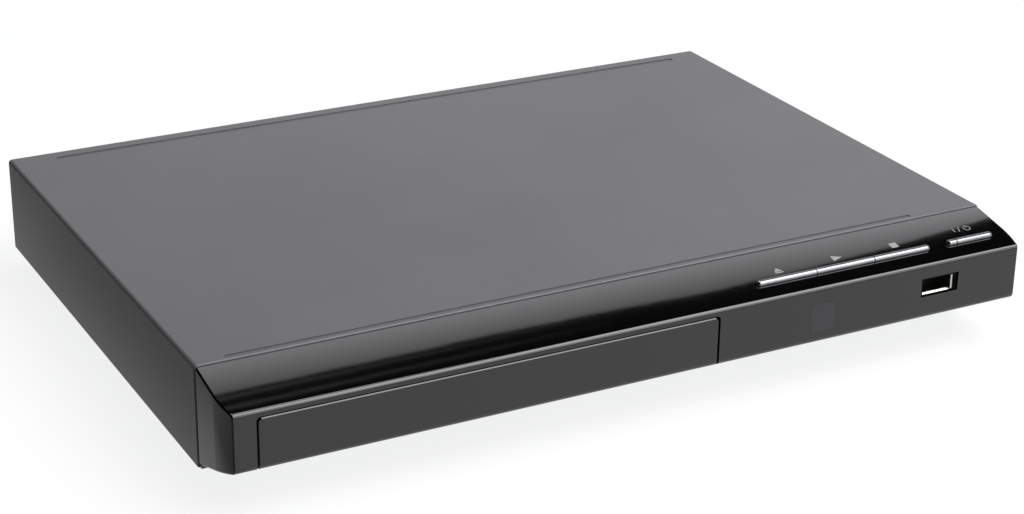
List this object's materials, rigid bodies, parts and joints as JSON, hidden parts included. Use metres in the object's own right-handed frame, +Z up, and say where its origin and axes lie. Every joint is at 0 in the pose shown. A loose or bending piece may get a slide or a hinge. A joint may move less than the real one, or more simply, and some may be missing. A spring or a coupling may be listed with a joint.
{
  "type": "disc player with loading tray",
  "caption": "Slim black disc player with a grey sheet-metal cover, a gloss front, a motorised disc tray on the left and a row of bar buttons on the sloping top edge.",
  "frame": {"origin": "centre of the outline seen from above, on the surface the feet stand on", "axes": "+X to the right seen from the front, the front faces -Y, +Z up"},
  "size_m": [0.27, 0.207, 0.0385],
  "materials": {
    "cover_paint": "matt fine-grain powder coat",
    "zinc_steel": "galvanised sheet",
    "panel_paint": "matt",
    "gloss_black": "high gloss",
    "bright_button": "metallised",
    "dark_plastic": "moulded",
    "tray_plastic": "fine spark-eroded grain",
    "white_plastic": "satin acetal",
    "foam_rubber": "matt",
    "belt_rubber": "matt",
    "dark_screw": "black oxide",
    "ir_filter": "tinted, gloss",
    "lens_plastic": "clear moulded",
    "board_brown": "phenolic paper laminate",
    "board_green": "solder mask",
    "plated_steel": "nickel plated",
    "ferrite": "sintered",
    "dark_sleeve": "shrink sleeve",
    "bare_aluminium": "extruded",
    "fuse_glass": "clear",
    "ribbon_white": "laminated",
    "wire_red": "insulation",
    "pickup_metal": "die-cast, as cast",
    "lens_glass": "coated",
    "brass_metal": "turned"
  },
  "bodies": {
    "casing": {"top_cover": "cover_paint", "bottom_chassis": "zinc_steel", "rear_panel": "panel_paint", "front_bezel": "gloss_black", "feet": "dark_plastic", "foot_pads": "foam_rubber", "cover_screws": "dark_screw", "ir_window": "ir_filter", "ir_receiver": "ir_filter", "led_lens": "lens_plastic", "front_board": "board_brown", "tact_switches": "dark_plastic", "usb_shell": "plated_steel", "usb_tongue": "white_plastic", "main_board": "board_green", "main_chips": "dark_plastic", "hdmi_socket": "plated_steel", "jack_block": "dark_plastic", "jack_shells": "plated_steel", "mains_inlet": "dark_plastic", "inlet_pins": "plated_steel", "power_board": "board_brown", "transformer": "ferrite", "bulk_capacitor": "dark_sleeve", "small_capacitors": "dark_sleeve", "heat_sink": "bare_aluminium", "fuse": "fuse_glass", "front_ribbon": "ribbon_white", "power_harness": "wire_red", "board_screws": "plated_steel", "loader_frame": "dark_plastic", "loader_screws": "plated_steel", "clamp_bridge": "zinc_steel", "loading_motor": "plated_steel", "loading_belt": "belt_rubber", "pivot_rod": "plated_steel"},
    "tray": {"disc_tray": "tray_plastic", "tray_door": "gloss_black"},
    "motor_pulley": {"motor_pulley": "white_plastic"},
    "pulley_gear": {"pulley_gear": "white_plastic"},
    "drive_gear": {"drive_gear": "white_plastic"},
    "cam_slider": {"cam_slider": "white_plastic"},
    "traverse": {"traverse_frame": "dark_plastic", "guide_rods": "plated_steel", "spindle_motor": "plated_steel", "sled_motor": "plated_steel"},
    "spindle": {"spindle_rotor": "plated_steel", "turntable": "dark_plastic"},
    "clamper": {"clamper": "white_plastic", "clamp_yoke": "plated_steel"},
    "pickup": {"optical_pickup": "pickup_metal", "objective_lens": "lens_glass"},
    "sled_gear": {"sled_gear": "white_plastic"},
    "sled_pinion": {"sled_pinion": "brass_metal"},
    "eject_button": {"eject_button": "bright_button"},
    "play_button": {"play_button": "bright_button"},
    "stop_button": {"stop_button": "bright_button"},
    "power_button": {"power_button": "bright_button"}
  },
  "joints": [
    {"name": "tray_slide", "type": "slide", "parent": "casing", "child": "tray", "axis": [0, -1, 0], "range_m": [0, 0.138]},
    {"name": "drive_gear_spin", "type": "hinge", "parent": "casing", "child": "drive_gear", "pos_m": [-0.1032, -0.07, 0.017], "axis": [0, 0, 1], "range_deg": [0, 1098.67]},
    {"name": "pulley_gear_spin", "type": "hinge", "parent": "casing", "child": "pulley_gear", "pos_m": [-0.08666, -0.07602, 0.017], "axis": [0, 0, 1], "range_deg": [-2928.95, 0]},
    {"name": "motor_pulley_spin", "type": "hinge", "parent": "casing", "child": "motor_pulley", "pos_m": [-0.0462, -0.0696, 0.018], "axis": [0, 0, 1], "range_deg": [-8063.25, 0]},
    {"name": "traverse_tilt", "type": "hinge", "parent": "casing", "child": "traverse", "pos_m": [-0.0462, 0.057, 0.017], "axis": [1, 0, 0], "range_deg": [0, 4.37]},
    {"name": "cam_slide", "type": "slide", "parent": "casing", "child": "cam_slider", "axis": [1, 0, 0], "range_m": [0, 0.02005]},
    {"name": "spindle_spin", "type": "hinge", "parent": "traverse", "child": "spindle", "pos_m": [-0.0522, -0.027, 0.024], "axis": [0, 0, 1], "continuous": true},
    {"name": "clamper_spin", "type": "hinge", "parent": "casing", "child": "clamper", "pos_m": [-0.0522, -0.027, 0.03], "axis": [0, 0, 1], "continuous": true},
    {"name": "pickup_slide", "type": "slide", "parent": "traverse", "child": "pickup", "axis": [0, 1, 0], "range_m": [0, 0.0355]},
    {"name": "sled_gear_spin", "type": "hinge", "parent": "traverse", "child": "sled_gear", "pos_m": [-0.0178, 0.017, 0.016], "axis": [0, 0, 1], "range_deg": [-509, 0]},
    {"name": "sled_pinion_spin", "type": "hinge", "parent": "traverse", "child": "sled_pinion", "pos_m": [-0.0128, 0.029, 0.015], "axis": [0, 0, 1], "range_deg": [0, 1695.5]},
    {"name": "eject_press", "type": "slide", "parent": "casing", "child": "eject_button", "axis": [0, 0.165, -0.9863], "range_m": [0, 0.0006], "stiffness_N_per_m": 400, "springref_m": -0.0005},
    {"name": "play_press", "type": "slide", "parent": "casing", "child": "play_button", "axis": [0, 0.165, -0.9863], "range_m": [0, 0.0006], "stiffness_N_per_m": 400, "springref_m": -0.0005},
    {"name": "stop_press", "type": "slide", "parent": "casing", "child": "stop_button", "axis": [0, 0.165, -0.9863], "range_m": [0, 0.0006], "stiffness_N_per_m": 400, "springref_m": -0.0005},
    {"name": "power_press", "type": "slide", "parent": "casing", "child": "power_button", "axis": [0, 0.165, -0.9863], "range_m": [0, 0.0006], "stiffness_N_per_m": 400, "springref_m": -0.0005}
  ],
  "couplings": [
    {"joint": "drive_gear_spin", "follows": "tray_slide", "rad_per_m": 138.89},
    {"joint": "pulley_gear_spin", "follows": "tray_slide", "rad_per_m": -370.37},
    {"joint": "motor_pulley_spin", "follows": "tray_slide", "rad_per_m": -1019.7},
    {"joint": "cam_slide", "follows": "traverse_tilt", "m_per_rad": 0.26242},
    {"joint": "clamper_spin", "follows": "spindle_spin", "ratio": 1},
    {"joint": "sled_gear_spin", "follows": "pickup_slide", "rad_per_m": -250},
    {"joint": "sled_pinion_spin", "follows": "pickup_slide", "rad_per_m": 833.33}
  ]
}
